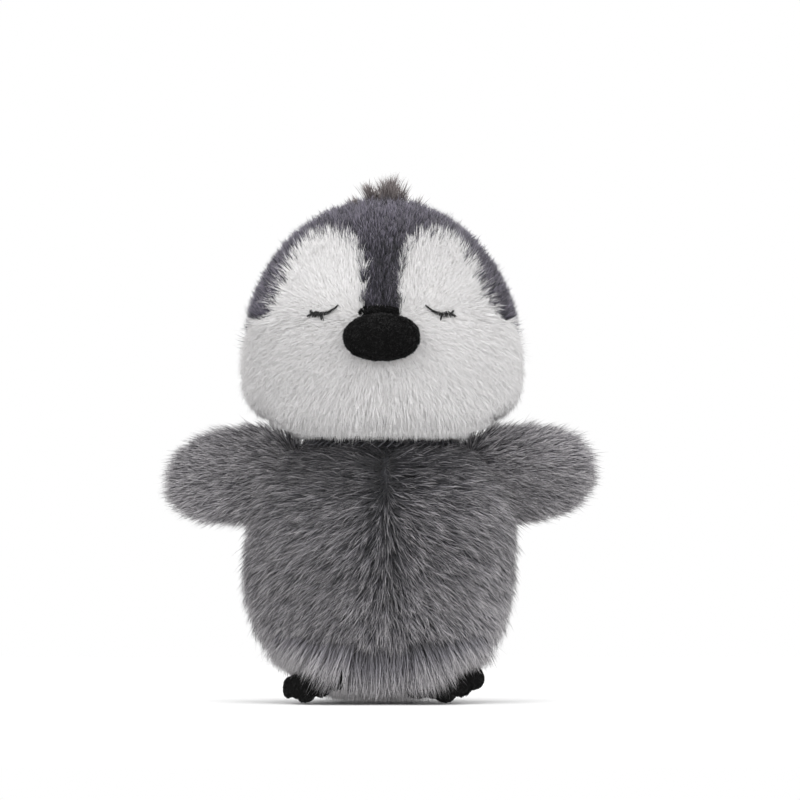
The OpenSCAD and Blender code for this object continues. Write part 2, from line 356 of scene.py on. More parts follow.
def grow(name, form, coat, count, seed, keep):
    """Fur in clumps, whose hairs lean towards the middle of their clump."""
    rng = np.random.default_rng(seed)
    clumps = count // coat.per_clump
    u, v = scatter(form, clumps, rng, keep)
    centres, _, per_u, per_v = form.frame(u, v)
    own = np.repeat(np.arange(clumps), coat.per_clump)
    offset = rng.normal(0, coat.spread, (2, len(own)))
    roots, normals, _, _ = form.frame(
        u[own] + offset[0] / np.maximum(per_u, 60 * MM)[own],
        np.clip(v[own] + offset[1] / np.maximum(per_v, 40 * MM)[own], 0.002, 0.998),
    )
    normals = unit(normals)
    along = coat.flow(roots, normals)
    along = unit(along - (along * normals).sum(1)[:, None] * normals)
    turn = rng.normal(0, coat.stray, clumps)[own] + rng.normal(0, coat.stray * 0.7, len(own))
    side = np.cross(normals, along)
    along = np.cos(turn)[:, None] * along + np.sin(turn)[:, None] * side
    noise = rng.normal(0, 0.1, clumps)[own] + rng.normal(0, 0.12, len(own))
    lengths = coat.length(roots) * (1 + coat.uneven * noise)
    lengths = np.maximum(lengths, 0.5 * MM)
    inward = centres[own] - roots
    along = unit(along + coat.gather * inward / lengths[:, None])
    lift_from, lift_to = coat.lift(roots, normals)
    tilt = rng.normal(0, 0.1, clumps)[own] + rng.normal(0, 0.08, len(own))
    shades = (coat.shade(roots) + rng.normal(0, coat.shade_spread[0], clumps)[own]
              + rng.normal(0, coat.shade_spread[1], len(own)))
    return hairs(name, roots - normals * 0.3 * MM, normals, along, lengths,
                 lift_from + tilt, lift_to + tilt, rng.normal(0, coat.sway, len(own)),
                 coat.width * np.clip(1 + rng.normal(0, 0.15, len(own)), 0.6, 1.5), shades)


# ---------------------------------------------------------------- materials


def material(name, roughness, sheen=0.0, specular=0.2):
    mat = bpy.data.materials.new(name)
    mat.use_nodes = True
    shader = mat.node_tree.nodes["Principled BSDF"]
    shader.inputs["Roughness"].default_value = roughness
    shader.inputs["Sheen Weight"].default_value = sheen
    shader.inputs["Sheen Roughness"].default_value = 0.5
    shader.inputs["Specular IOR Level"].default_value = specular
    return mat, mat.node_tree, shader


def ramp(tree, factor, stops):
    node = tree.nodes.new("ShaderNodeValToRGB")
    elements = node.color_ramp.elements
    elements.remove(elements[-1])
    elements[0].position, elements[0].color = stops[0][0], (*stops[0][1], 1)
    for place, colour in stops[1:]:
        elements.new(place).color = (*colour, 1)
    tree.links.new(factor, node.inputs["Fac"])
    return node.outputs["Color"]


def fur_material(name, dark, light, roughness=0.65, sheen=0.15, specular=0.2):
    """dark and light give the colour at the root, half way and at the tip of such hairs."""
    mat, tree, shader = material(name, roughness, sheen, specular)
    uv = tree.nodes.new("ShaderNodeUVMap")
    uv.uv_map = "OFBake"
    split = tree.nodes.new("ShaderNodeSeparateXYZ")
    tree.links.new(uv.outputs["UV"], split.inputs["Vector"])
    mix = tree.nodes.new("ShaderNodeMix")
    mix.data_type = "RGBA"
    tree.links.new(split.outputs["X"], mix.inputs["Factor"])
    for socket, colours in (("A", dark), ("B", light)):
        stops = list(zip((0.0, 0.5, 1.0), colours))
        tree.links.new(ramp(tree, split.outputs["Y"], stops), mix.inputs[socket])
    tree.links.new(mix.outputs["Result"], shader.inputs["Base Color"])
    return mat


def cloth_material(name, low, high, scale, roughness=0.85, sheen=0.1, specular=0.2,
                   depth=0.3 * MM):
    """A knitted or felted ground: mottled colour and a fine bump."""
    mat, tree, shader = material(name, roughness, sheen, specular)
    place = tree.nodes.new("ShaderNodeTexCoord")
    noise = tree.nodes.new("ShaderNodeTexNoise")
    noise.inputs["Scale"].default_value = scale
    noise.inputs["Detail"].default_value = 4
    tree.links.new(place.outputs["Object"], noise.inputs["Vector"])
    tree.links.new(ramp(tree, noise.outputs["Fac"], [(0.3, low), (0.7, high)]),
                   shader.inputs["Base Color"])
    relief = tree.nodes.new("ShaderNodeBump")
    relief.inputs["Distance"].default_value = depth
    tree.links.new(noise.outputs["Fac"], relief.inputs["Height"])
    tree.links.new(relief.outputs["Normal"], shader.inputs["Normal"])
    return mat


# Roots much darker than tips: partly the fur's own colour, partly painted shade deep in the pile
BODY_FUR = fur_material(
    "body_fur",
    dark=((0.004, 0.004, 0.005), (0.012, 0.012, 0.015), (0.032, 0.032, 0.038)),
    light=((0.03, 0.03, 0.034), (0.30, 0.29, 0.32), (0.86, 0.83, 0.84)),
)
# As on the body, the dark roots are partly painted shade deep in the pile
HOOD_FUR = fur_material(
    "hood_fur",
    dark=((0.004, 0.004, 0.006), (0.012, 0.012, 0.017), (0.024, 0.023, 0.031)),
    light=((0.02, 0.02, 0.026), (0.12, 0.11, 0.15), (0.42, 0.385, 0.48)),
)
TUFT_FUR = fur_material(
    "tuft_fur",
    dark=((0.02, 0.018, 0.02), (0.06, 0.05, 0.052), (0.11, 0.09, 0.09)),
    light=((0.05, 0.045, 0.05), (0.20, 0.17, 0.17), (0.42, 0.37, 0.36)),
)
FACE_FUR = fur_material(
    "face_fur",
    dark=((0.74, 0.73, 0.72), (0.72, 0.71, 0.71), (0.70, 0.69, 0.69)),
    light=((0.88, 0.87, 0.86), (0.90, 0.89, 0.89), (0.92, 0.91, 0.91)),
    roughness=0.8,
)
# The light hairs' pale tips give the pile its texture and are painted highlights, since its own
# specular is kept low
BLACK_PILE = fur_material(
    "black_pile",
    dark=((0.002, 0.002, 0.002), (0.004, 0.004, 0.004), (0.006, 0.006, 0.006)),
    light=((0.002, 0.002, 0.002), (0.012, 0.012, 0.012), (0.10, 0.098, 0.10)),
    sheen=0.0,
    specular=0.06,
)
GREY_BACKING = cloth_material("grey_backing", (0.02, 0.02, 0.023), (0.04, 0.04, 0.045), 900)
HOOD_BACKING = cloth_material("hood_backing", (0.012, 0.012, 0.016), (0.025, 0.025, 0.032), 900)
WHITE_BACKING = cloth_material("white_backing", (0.70, 0.69, 0.68), (0.80, 0.79, 0.78), 900)
BLACK_VELOUR = cloth_material("black_velour", (0.002, 0.002, 0.002), (0.006, 0.006, 0.006), 1400,
                              sheen=0.0, specular=0.05)
STUFFING = cloth_material("fibre_filling", (0.80, 0.80, 0.77), (0.92, 0.92, 0.90), 260)
BLACK_THREAD = cloth_material("black_thread", (0.004, 0.004, 0.004), (0.015, 0.015, 0.015), 2500,
                              roughness=0.4, sheen=0.0, depth=0.1 * MM)
GREY_THREAD = cloth_material("grey_thread", (0.10, 0.10, 0.11), (0.18, 0.18, 0.20), 2500,
                             roughness=0.5, sheen=0.0, depth=0.1 * MM)


def finish(piece, mat, slot, *replaced):
    """Gives a piece its material, and hides the CAD nodes that it stands for; slot is not used."""
    piece.data.materials.clear()
    piece.data.materials.append(mat)
    if replaced:
        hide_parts(*replaced)
    return piece


# ---------------------------------------------------------------- torso

SEAM_X = 2 * MM
# How far the lower torso stands towards -X of the CAD's, as in the photograph
BODY_LEAN = 1.5 * MM
COLLAR_R = 48 * MM
COLLAR_Z = 122 * MM
SHOULDER_V = 0.82


def torso_outline(u, v):
    """The torso up to the shoulders, then the round neck that the head turns on."""
    shoulder = math.asin((COLLAR_Z - BELLY_Z) / SHOULDER_RISE)
    body = -math.pi / 2 + (shoulder + math.pi / 2) * v / SHOULDER_V
    r, z = superellipse(body, BELLY_R, SHOULDER_RISE, BOTTOM_DROP, 3.2, 2.32)
    neck = math.asin((COLLAR_Z - NECK[2]) / COLLAR_R)
    ball = neck + (math.pi / 2 - neck) * (v - SHOULDER_V) / (1 - SHOULDER_V)
    on_ball = v > SHOULDER_V
    r = np.where(on_ball, COLLAR_R * np.cos(ball), r)
    p = revolve(u, r, np.where(on_ball, NECK[2] + COLLAR_R * np.sin(ball), BELLY_Z + z))
    p[:, 0] -= BODY_LEAN * ease(-p[:, 2], -95 * MM, -60 * MM)
    return p


def torso_length(p):
    """Long on the belly and short on the base and round the neck."""
    r = np.hypot(p[:, 0], p[:, 1] / DEPTH)
    base = 1 - 0.5 * ease(-r, -38 * MM, -20 * MM) * ease(-p[:, 2], -30 * MM, -10 * MM)
    neck = 1 - 0.55 * ease(p[:, 2], 114 * MM, 124 * MM)
    return 13 * MM * base * neck


def torso_relief(p):
    front = ease(-p[:, 1], 0, 20 * MM)
    seam = front * hill(p[:, 0] - SEAM_X, 3.5 * MM) * ease(-p[:, 2], -115 * MM, -95 * MM)
    hem = hill(p[:, 2] - HEM_Z, 14 * MM) * ease(-p[:, 1], 15 * MM, 30 * MM)
    return (0.3 * hem - 0.72) * torso_length(p) - 1.5 * MM * seam


def torso_flow(p, n):
    """Away from the middle seam: level at the chest, slanting on the belly, down at the hem."""
    x = p[:, 0] - SEAM_X
    height = p[:, 2] / MM
    down = np.interp(height, [8, 25, 45, 65, 85, 105], [80, 68, 52, 42, 32, 8])
    front = ease(-p[:, 1], -25 * MM, 10 * MM)
    down = down + 22 * hill(x, 12 * MM) * (height < 110)
    down = down * front + (1 - front) * np.maximum(down, 62)
    slope = np.radians(np.minimum(down, 88))
    return vectors(np.tanh(x / (1.5 * MM)) * np.cos(slope), 0, -np.sin(slope), p)


def torso_lift(p, n):
    lower = ease(-p[:, 2], -50 * MM, -20 * MM)
    return 1.0 - 0.2 * lower, 0.28 - 0.08 * lower


def torso_shade(p):
    # Painted light: lighter towards the bottom, for the light thrown up from the floor; the hairs
    # there are paler too
    low = ease(-p[:, 2], -75 * MM, -5 * MM)
    edge = ease(np.abs(p[:, 0]), 20 * MM, 58 * MM)
    # Painted shadow: darker towards the neck, where the chin shades the chest
    neck = ease(p[:, 2], 88 * MM, 116 * MM) * (1 - 0.6 * edge)
    # Painted shade: darker along the parting at the middle seam
    seam = hill(p[:, 0] - SEAM_X, 6 * MM) * ease(-p[:, 1], 0, 20 * MM) * (1 - low)
    # The fringe at the hem is paler, and lighter still with painted light from the floor
    hem = ease(-p[:, 2], -44 * MM, -18 * MM)
    return 0.31 + 0.42 * low + 0.16 * edge - 0.40 * neck - 0.16 * seam + 0.22 * hem


def hem_end(p):
    """Height at which the fringe in front of the feet ends: lower towards the middle."""
    return 4.5 * MM + 0.55 * np.maximum(np.abs(p[:, 0]) - 20 * MM, 0)


def hem_length(p):
    straight = 0.82 + 0.14 * ease(np.abs(p[:, 0]), 12 * MM, 30 * MM)
    return np.maximum(p[:, 2] - hem_end(p), 8 * MM) / straight


def hem_flow(p, n):
    return vectors(0.9 * p[:, 0] / BELLY_R, 0, -1, p)


def hem_lift(p, n):
    x = np.abs(p[:, 0])
    away = (1 - 0.6 * ease(x, 30 * MM, 44 * MM)) * (1 - 0.4 * ease(-x, -16 * MM, -6 * MM))
    return 1.65 * away, 0.35 * away


# The fringe's roots lie in a row: its height above the fringe's end, the least height that it may
# have, what is added to either for the row's middle, and half of the row's own height
HEM_DROP = 17 * MM
HEM_LOWEST_ROW = 27 * MM
HEM_ROW_RISE = 1 * MM
HEM_ROW_HALF = 4.5 * MM
HEM_HALF_WIDTH = 43 * MM
HEM_BACK_Y = -15 * MM
HEM_HAIRS = 6000
# Height of the belly's swell above the hem
HEM_Z = 31 * MM
HEM_COAT = Coat(hem_flow, hem_length, hem_lift, torso_shade, width=0.3 * MM, gather=0.25,
                stray=0.12, uneven=0.5)
TORSO = Form(torso_outline, torso_relief)
BODY_COAT = Coat(torso_flow, torso_length, torso_lift, torso_shade)
TORSO_SPLIT_Z = 62 * MM
BELLY_HAIRS = 12300
BACK_HAIRS = 10000


def build_torso():
    skin = cloth("torso_backing", TORSO, 160, 110)
    finish(skin, GREY_BACKING, "body_fur", "base_panel", "neck_stuffing", "torso_stuffing")
    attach(skin, "torso")
    seed = 100
    for facing, way in (("belly", -1), ("back", 1)):
        for word, side in (("left", 1), ("right", -1)):
            for level, above in (("upper", 1), ("lower", -1)):

                def keep(p, way=way, side=side, above=above):
                    return ((p[:, 1] * way > 0) & (p[:, 0] * side > 0)
                            & ((p[:, 2] - TORSO_SPLIT_Z) * above > 0)).astype(float)

                count = BELLY_HAIRS if facing == "belly" else BACK_HAIRS
                fur = grow(f"{facing}_fur_{word}_{level}", TORSO, BODY_COAT, count, seed, keep)
                finish(fur, BODY_FUR, "body_fur", f"{facing}_panel_{word}")
                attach(fur, "torso")
                seed += 1
    for word, side in (("left", 1), ("right", -1)):

        def over_foot(p, side=side):
            x = p[:, 0] * side
            row_z = np.maximum(hem_end(p) + HEM_DROP, HEM_LOWEST_ROW)
            in_row = np.abs(p[:, 2] - row_z - HEM_ROW_RISE) < HEM_ROW_HALF
            in_front = (x > 0) & (x < HEM_HALF_WIDTH) & (p[:, 1] < HEM_BACK_Y)
            return (in_front & in_row).astype(float)

        fur = grow(f"hem_fur_{word}", TORSO, HEM_COAT, HEM_HAIRS, seed, over_foot)
        finish(fur, BODY_FUR, "body_fur", f"belly_panel_{word}")
        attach(fur, "torso")
        seed += 1


# ---------------------------------------------------------------- head

DISH_R = 52.5 * MM
DISH_V = 0.18
RIM_Z = 126.6 * MM
HOOD_SIDE_Z = 182 * MM
# Where the white's upper edge starts to curve down, and the depth over which it does
WHITE_SIDE_Y = -14 * MM
WHITE_SIDE_DEPTH = 32 * MM
BLAZE_FOOT_Z = 184 * MM
BLAZE_HALF = 8.4 * MM
PATCH_PEAK = (26 * MM, 218.5 * MM)
PATCH_FOOT_Z = 190 * MM
PATCH_FALL = 18 * MM
PATCH_FALL_WIDTH = 17.5 * MM


def head_outline(u, v):
    """The hollow that the neck sits in, then the outside from the chin to the crown."""
    rim = math.acos((RIM_Z - NECK[2]) / DISH_R)
    dish = rim * v / DISH_V
    low = math.asin((RIM_Z - CHEEK_Z) / CHIN_DROP)
    outside = low + (math.pi / 2 - low) * (v - DISH_V) / (1 - DISH_V)
    r, z = superellipse(outside, CHEEK_R, CROWN_RISE, CHIN_DROP, 2.05, 2.55)
    in_dish = v < DISH_V
    r = np.where(in_dish, DISH_R * np.sin(dish), r)
    p = revolve(u, r, np.where(in_dish, NECK[2] + DISH_R * np.cos(dish), CHEEK_Z + z))
    fuller = hill(p[:, 2] - 136 * MM, 10 * MM) * ease(-p[:, 1], 10 * MM, 40 * MM)
    p[:, 1] -= 4 * MM * fuller * ease(dish_distance(p), 0, 8 * MM)
    return p


def dish_distance(p):
    return np.linalg.norm((p - NECK) / [1, DEPTH, 1], axis=1) - DISH_R


def white_top(p):
    """Height up to which the face is white: an arch over each eye, and lower towards the back."""
    x = np.abs(p[:, 0])
    peak_x, peak_z = PATCH_PEAK
    inner = np.clip((peak_x - x) / (peak_x - BLAZE_HALF), 0, 1)
    rising = PATCH_FOOT_Z + (peak_z - PATCH_FOOT_Z) * (1 - inner**3) ** (1 / 3)
    falling = peak_z - PATCH_FALL * ((x - peak_x) / PATCH_FALL_WIDTH) ** 2
    top = np.where(x < peak_x, rising, np.maximum(falling, HOOD_SIDE_Z))
    top = np.where(x < BLAZE_HALF, BLAZE_FOOT_Z, top)
    behind = np.clip((p[:, 1] - WHITE_SIDE_Y) / WHITE_SIDE_DEPTH, 0, 1)
    arc = RIM_Z + (HOOD_SIDE_Z - RIM_Z) * np.sqrt(1 - behind**2)
    return np.where(p[:, 1] > WHITE_SIDE_Y, np.minimum(top, arc), top)


def is_white(p):
    return p[:, 2] < white_top(p)


def face_distance(p, x, z):
    """Distance on the face from the two places x either side of the middle, at height z."""
    return np.hypot(np.abs(p[:, 0]) - x, p[:, 2] - z)


def face_length(p):
    nose = 1 - 0.6 * hill(face_distance(p, 0, NOSE[2]), 24 * MM) * ease(-p[:, 1], 0, 30 * MM)
    eyes = 1 - 0.45 * hill(face_distance(p, EYE[0], EYE[2]), 12 * MM)
    brow = 1 - 0.2 * ease(p[:, 2], 182 * MM, 195 * MM)
    r = np.hypot(p[:, 0], p[:, 1] / DEPTH)
    under = 1 - 0.65 * ease(-r, -58 * MM, -50 * MM) * ease(-p[:, 2], -142 * MM, -134 * MM)
    return 9 * MM * nose * eyes * brow * under


def patch_edge(p):
    return hill(p[:, 2] - white_top(p), 3.5 * MM) * ease(p[:, 2], 185 * MM, 195 * MM)


def jaw(p):
    """The lower edge of the face, whose fur hangs straight down over the neck."""
    front = ease(-p[:, 1], -5 * MM, 20 * MM) * ease(-np.abs(p[:, 0]), -56 * MM, -30 * MM)
    return hill(p[:, 2] - 137 * MM, 7 * MM) * front


def face_hair_length(p):
    return face_length(p) + 3.5 * MM * jaw(p) + 2 * MM * patch_edge(p)


def hood_length(p):
    blaze = hill(p[:, 0], 14 * MM) * ease(-p[:, 1], 20 * MM, 40 * MM)
    return 8 * MM * (1 - 0.35 * blaze)


def head_relief(p):
    front = ease(-p[:, 1], 10 * MM, 40 * MM)
    socket = hill(face_distance(p, EYE[0], EYE[2] + 3 * MM), 9 * MM) * 2.2 * MM
    cheek = hill(face_distance(p, 30 * MM, 158 * MM), 18 * MM) * 2.0 * MM
    crease = hill(p[:, 0], 3 * MM) * ease(-p[:, 2], -164 * MM, -150 * MM)
    crease = crease * ease(p[:, 2], 138 * MM, 150 * MM) * 1.0 * MM
    length = np.where(is_white(p), face_length(p), hood_length(p))
    cover = ease(dish_distance(p), 0, 4 * MM)
    return cover * (-0.64 * length + front * (cheek - socket - crease))


def face_flow(p, n):
    """Up and out over the eyes, and away from the nose and down on the cheeks."""
    side = np.where(p[:, 0] < 0, -1.0, 1.0)
    brow = unit(vectors(p[:, 0] - side * 14 * MM, 0, p[:, 2] - 178 * MM, p))
    cheek = unit(vectors(p[:, 0], 0, p[:, 2] - (NOSE[2] + 8 * MM), p)) + vectors(0, 0, -0.3, p)
    share = ease(p[:, 2], 180 * MM, 192 * MM)[:, None]
    low = jaw(p)[:, None]
    cheek = cheek * (1 - low) + vectors(0.3 * p[:, 0] / CHEEK_R, 0, -1, p) * low
    return brow * share + cheek * (1 - share)


def face_lift(p, n):
    flat = np.maximum(ease(p[:, 2], 182 * MM, 195 * MM), ease(-p[:, 2], -160 * MM, -138 * MM))
    edge = patch_edge(p)
    low = jaw(p)
    lift_from = 0.75 - 0.2 * flat + 0.35 * edge + 0.3 * low
    lift_to = 0.25 - 0.12 * flat + 0.25 * edge + 0.5 * low
    return lift_from, lift_to


def face_shade(p):
    # Painted light: the white is lighter over the brow, as lit from above
    brow = ease(p[:, 2], 182 * MM, 195 * MM)
    return 0.5 + 0.2 * brow


def hood_flow(p, n):
    """Combed up the forehead, back over the crown and down behind, and a little outward."""
    up = vectors(0, (p[:, 2] - CHEEK_Z) / CHEEK_R, -p[:, 1] / CHEEK_R, p)
    return up + vectors(0.5 * p[:, 0] / CHEEK_R, 0, 0.35 * (p[:, 1] < 15 * MM), p)


def hood_lift(p, n):
    return np.full(len(p), 1.0), np.full(len(p), 0.4)


def hood_shade(p):
    # Painted light: lighter towards the crown, as lit from above; lighter towards the sides too
    top = ease(p[:, 2], 205 * MM, 232 * MM)
    side = ease(np.abs(p[:, 0]), 25 * MM, 45 * MM)
    return 0.46 * top + 0.32 * side


HEAD = Form(head_outline, head_relief)
FACE_COAT = Coat(face_flow, face_hair_length, face_lift, face_shade, width=0.24 * MM, per_clump=3,
                 spread=0.5 * MM, gather=0.2, stray=0.12, sway=0.12, shade_spread=(0.1, 0.22))
HOOD_COAT = Coat(hood_flow, hood_length, hood_lift, hood_shade, width=0.28 * MM)
FACE_HAIRS = 12300
CHIN_HAIRS = 10400
HOOD_HAIRS = 11500
EYE_LINE_Z = 176 * MM
CHEEK_LINE_Z = 160 * MM
CHIN_LINE_Z = 143 * MM


def build_head():
    skin = cloth("head_backing", HEAD, 160, 120)
    finish(skin, WHITE_BACKING, "face_fur")
    skin.data.materials.append(HOOD_BACKING)
    centres = np.empty(len(skin.data.polygons) * 3)
    skin.data.polygons.foreach_get("center", centres)
    dark = ~is_white(centres.reshape(-1, 3))
    skin.data.polygons.foreach_set("material_index", dark.astype(np.int32))
    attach(skin, "head")

    mingle = np.random.default_rng(250).normal(0, 0.8 * MM, CELLS_ACROSS * CELLS_ALONG)

    def keep(p, side, low, high, white):
        inside = (p[:, 0] * side >= 0) & (p[:, 2] >= low) & (p[:, 2] < high)
        is_face = p[:, 2] + mingle < white_top(p + [1, 0, 0] * np.roll(mingle, 7)[:, None])
        return (inside & (is_face == white) & (dish_distance(p) > 0.3 * MM)).astype(float)

    top = CROWN_Z + 10 * MM
    seed = 200
    for word, side in (("left", 1), ("right", -1)):
        for part, low, high, count, node in (
            ("brow", EYE_LINE_Z, top, FACE_HAIRS, f"face_panel_{word}"),
            ("cheek", CHEEK_LINE_Z, EYE_LINE_Z, FACE_HAIRS, f"face_panel_{word}"),
            ("jowl", CHIN_LINE_Z, CHEEK_LINE_Z, FACE_HAIRS, f"face_panel_{word}"),
            ("chin", 0, CHIN_LINE_Z, CHIN_HAIRS, "chin_panel"),
        ):
            fur = grow(f"{part}_fur_{word}", HEAD, FACE_COAT, count, seed,
                       lambda p: keep(p, side, low, high, True))
            finish(fur, FACE_FUR, "face_fur", node)
            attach(fur, "head")
            seed += 1
        for part, way in (("front", -1), ("rear", 1)):
            fur = grow(f"hood_fur_{word}_{part}", HEAD, HOOD_COAT, HOOD_HAIRS, seed,
                       lambda p: keep(p, side, 0, top, False) * (p[:, 1] * way > 0))
            finish(fur, HOOD_FUR, "hood_fur", f"hood_panel_{word}", "crown_gusset")
            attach(fur, "head")
            seed += 1


def build_tuft():
    """Loose spikes of longer hair along the middle of the crown."""
    rng = np.random.default_rng(300)
    spikes, per_spike = 34, 24
    half = (TUFT_HIGH[0] - TUFT_LOW[0]) / 2
    across = np.clip(rng.normal(0, 0.42, spikes), -1, 1) * half
    place = vectors(across + 2 * MM, rng.normal(0, 3 * MM, spikes), 0, across)
    spike_flow = vectors(across / half * 0.9 + rng.normal(0, 0.35, spikes),
                         rng.normal(0, 0.6, spikes), 0, across)
    spike_height = 17 * MM * (1 - 0.6 * (np.abs(across) / half) ** 1.5) * rng.uniform(0.6, 1, spikes)
    own = np.repeat(np.arange(spikes), per_spike)
    aside = rng.normal(0, 1.1 * MM, (len(own), 3)) * [1, 1, 0]
    roots = place[own] + aside
    roots[:, 2] = CROWN_Z - 5 * MM - 4 * MM * (roots[:, 0] / half) ** 2
    lengths = spike_height[own] * np.clip(1 + rng.normal(0, 0.12, len(own)), 0.6, 1.2)
    flows = unit(spike_flow[own] - 0.35 * aside / MM + rng.normal(0, 0.15, (len(own), 3)) * [1, 1, 0])
    lift = np.radians(80) - 0.4 * np.abs(across[own]) / half + rng.normal(0, 0.1, len(own))
    tuft = hairs("crown_tuft_fur", roots, vectors(0, 0, 1, roots), flows, lengths, lift, lift - 0.25,
                 rng.normal(0, 0.4, len(own)), np.full(len(own), 0.36 * MM),
                 0.45 + rng.normal(0, 0.25, len(own)))
    finish(tuft, TUFT_FUR, "hood_fur", "crown_tuft")
    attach(tuft, "head")


# ---------------------------------------------------------------- eyes

# Each closed eye, from its inner to its outer end: distance from the eye's middle, and width
EYE_LINE = np.array([[-6.9, 3.2], [-4.6, 1.1], [-2.0, -0.5], [1.6, -1.5], [5.0, -1.0]]) * MM
EYE_WIDTHS = np.array([0.6, 0.9, 1.4, 2.3, 3.2]) * MM
# Lashes: where each starts on the eye's line (0 inner, 1 outer), which way it points, and how far
LASHES = ((0.95, 48, 2.4), (1.0, -25, 2.0), (0.70, -100, 2.6), (0.84, 105, 1.5))
LASH_THREADS = 7
EYE_HEIGHT = 2.1 * MM
THREAD_R = 0.17 * MM
EYE_STITCHES = 46


def face_surface(x, z):
    """Points on the face's cloth, and the way it faces, at places across and heights."""
    low, high = np.full(len(x), DISH_V), np.ones(len(x))
    turn = np.full(len(x), 0.75)
    for _ in range(30):
        half_way = (low + high) / 2
        p = HEAD.point(turn, half_way)
        towards = 0.75 + np.arctan2(x * DEPTH, -p[:, 1]) / (2 * math.pi)
        turn = np.where(np.abs(p[:, 1]) > 1e-6, towards, turn)
        below = p[:, 2] < z
        low, high = np.where(below, half_way, low), np.where(below, high, half_way)
    p, normal, _, _ = HEAD.frame(turn, (low + high) / 2)
    return p, unit(normal)


def build_eye(side, word):
    """Black satin stitches along a line that curves down, and a few thick lashes."""
    rng = np.random.default_rng(400 + side)
    knots = np.linspace(0, 1, len(EYE_LINE))
    starts, ends = [], []
    for place in np.linspace(0, 1, EYE_STITCHES):
        centre = [np.interp(place, knots, EYE_LINE[:, k]) for k in (0, 1)]
        ahead = [np.interp(min(place + 0.1, 1), knots, EYE_LINE[:, k])
                 - np.interp(max(place - 0.1, 0), knots, EYE_LINE[:, k]) for k in (0, 1)]
        along = unit(np.array(ahead))
        slant = rng.normal(0.5, 0.15)
        across = np.array([-along[1] - slant * along[0], along[0] - slant * along[1]])
        reach = np.interp(place, knots, EYE_WIDTHS) / 2 * (1 + rng.normal(0, 0.12))
        starts.append(centre - across * reach)
        ends.append(centre + across * reach)
    for place, angle, length in LASHES:
        centre = np.array([np.interp(place, knots, EYE_LINE[:, k]) for k in (0, 1)])
        for _ in range(LASH_THREADS):
            turn = math.radians(angle + rng.normal(0, 5))
            aside = rng.normal(0, 0.25 * MM, 2)
            starts.append(centre + aside)
            way = np.array([math.cos(turn), math.sin(turn)])
            ends.append(centre + aside + way * length * MM * (1 + rng.normal(0, 0.1)))
    starts, ends = np.array(starts), np.array(ends)
    steps = 6
    share = np.linspace(0, 1, steps)
    flat = starts[:, None, :] + (ends - starts)[:, None, :] * share[None, :, None]
    flat = flat.reshape(-1, 2)
    p, normal = face_surface(side * (EYE[0] + flat[:, 0]), EYE[2] + flat[:, 1])
    arch = np.tile(np.sin(share * math.pi) * 0.5 * MM, len(starts))
    layer = np.repeat(rng.random(len(starts)) * 0.35 * MM, steps)
    path = p + normal * (EYE_HEIGHT + arch + layer)[:, None]
    eye = tubes(f"eye_{word}_stitches", path.reshape(-1, steps, 3), np.full(len(starts), THREAD_R))
    finish(eye, BLACK_THREAD, "black_thread", f"eye_{word}")
    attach(eye, "head")


# ---------------------------------------------------------------- nose


def pillow(centre, half, power, fullness, flat_back):
    """Outline of a stuffed pillow that faces the front, with its seam in the XZ plane."""

    def outline(u, v):
        turn = u * 2 * math.pi
        angle = (v - 0.5) * math.pi
        q = np.maximum(np.cos(angle), 0) ** fullness
        bulge = np.sign(angle) * np.abs(np.sin(angle)) ** fullness
        bulge = np.where(bulge < 0, bulge * flat_back, bulge)
        x = np.sign(np.cos(turn)) * np.abs(np.cos(turn)) ** power
        z = np.sign(np.sin(turn)) * np.abs(np.sin(turn)) ** power
        return centre + np.stack([half[0] * q * x, -half[1] * bulge, half[2] * q * z], axis=1)

    return outline


def random_flow(seed):
    def flow(p, n):
        return np.random.default_rng(seed).normal(0, 1, p.shape)

    return flow


def pile(seed, length, shade):
    """Short, dense and curly, as on velour."""
    return Coat(random_flow(seed), lambda p: np.full(len(p), length),
                lambda p, n: (np.full(len(p), 1.0), np.full(len(p), -0.1)), shade,
                width=0.3 * MM, per_clump=7, spread=0.45 * MM, gather=1.4, stray=0.6,
                shade_spread=(0.25, 0.2))


def everywhere(p):
    return np.ones(len(p))


NOSE_ROW = 1.7 * MM
NOSE_HAIRS = 9000
BRIDGE_HALF = np.array([9.4, 2.8, 3.2]) * MM
BRIDGE_HAIRS = 1800


